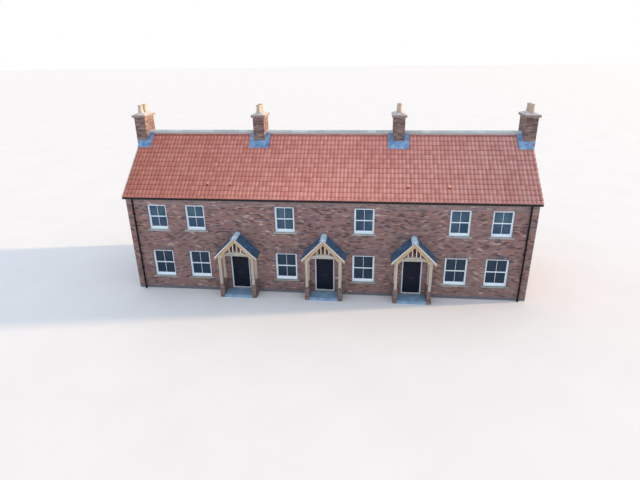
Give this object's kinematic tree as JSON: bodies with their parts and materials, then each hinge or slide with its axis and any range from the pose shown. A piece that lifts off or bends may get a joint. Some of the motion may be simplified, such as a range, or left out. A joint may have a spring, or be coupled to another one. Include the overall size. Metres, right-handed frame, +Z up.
{
  "type": "terraced house row",
  "caption": "Row of two storey brick houses with a pantile roof, chimney stacks, sash windows and an oak framed gabled porch at each hinged front door",
  "frame": {"origin": "on the ground under the middle of the row, under the roof ridge", "axes": "+X along the row to the right as seen from the front, -Y the front with the porches, +Z up"},
  "size_m": [21.17, 7.51, 9.4796],
  "materials": {
    "brick": "rough mixed red brick",
    "party": "rough brick",
    "slab": "rough concrete",
    "boards": "boarded floor",
    "pantile": "matt orange clay",
    "ridge": "weathered grey clay",
    "chimney_brick": "rough brick",
    "mortar_cap": "rough mortar",
    "pot": "matt buff clay",
    "lead": "dull blue grey lead",
    "vent": "matt orange clay",
    "fascia": "dark paint",
    "rainwater": "satin black",
    "sill": "weathered buff stone",
    "white_frame": "white paint",
    "glass": "clear, dark from outside",
    "door_paint": "near black paint",
    "porch_floor": "rough grey paving",
    "oak": "oiled oak",
    "pale_oak": "pale new oak",
    "slate": "dark blue slate",
    "porch_lead": "pale blue grey lead"
  },
  "bodies": {
    "house": {"ground_floor": "slab", "first_floor": "boards", "front_wall_a": "brick", "front_wall_b": "brick", "front_wall_c": "brick", "front_wall_d": "brick", "front_wall_upper": "brick", "rear_wall_lower": "brick", "rear_wall_upper": "brick", "gable_walls": "brick", "party_walls": "party", "roof_front": "pantile", "roof_rear": "pantile", "ridge_tiles": "ridge", "chimney_stacks": "chimney_brick", "chimney_caps": "mortar_cap", "chimney_pots": "pot", "chimney_leads": "lead", "roof_vents": "vent", "fascias": "fascia", "gutters": "rainwater", "downpipes": "rainwater", "window_sills": "sill", "window_frames_front": "white_frame", "window_frames_rear": "white_frame", "glass_front": "glass", "glass_rear": "glass", "door_frames": "white_frame", "rear_door_frames": "white_frame", "rear_doors": "door_paint", "porch_floors": "porch_floor", "porch_dwarf_walls": "chimney_brick", "porch_posts": "oak", "porch_plates": "oak", "porch_tie_beams": "oak", "porch_struts": "oak", "porch_rafters": "oak", "porch_braces": "oak", "porch_barge_boards": "oak", "porch_strips": "pale_oak", "porch_roofs": "slate", "porch_leads": "porch_lead"},
    "door_left": {"door_left": "door_paint"},
    "door_middle": {"door_middle": "door_paint"},
    "door_right": {"door_right": "door_paint"}
  },
  "joints": [
    {"name": "door_left_hinge", "type": "hinge", "parent": "house", "child": "door_left", "pos_m": [-4.977, -3, 1.2], "axis": [0, 0, 1], "range_deg": [0, 90]},
    {"name": "door_middle_hinge", "type": "hinge", "parent": "house", "child": "door_middle", "pos_m": [-0.457, -3, 1.2], "axis": [0, 0, 1], "range_deg": [0, 90]},
    {"name": "door_right_hinge", "type": "hinge", "parent": "house", "child": "door_right", "pos_m": [4.063, -3, 1.2], "axis": [0, 0, 1], "range_deg": [0, 90]}
  ]
}
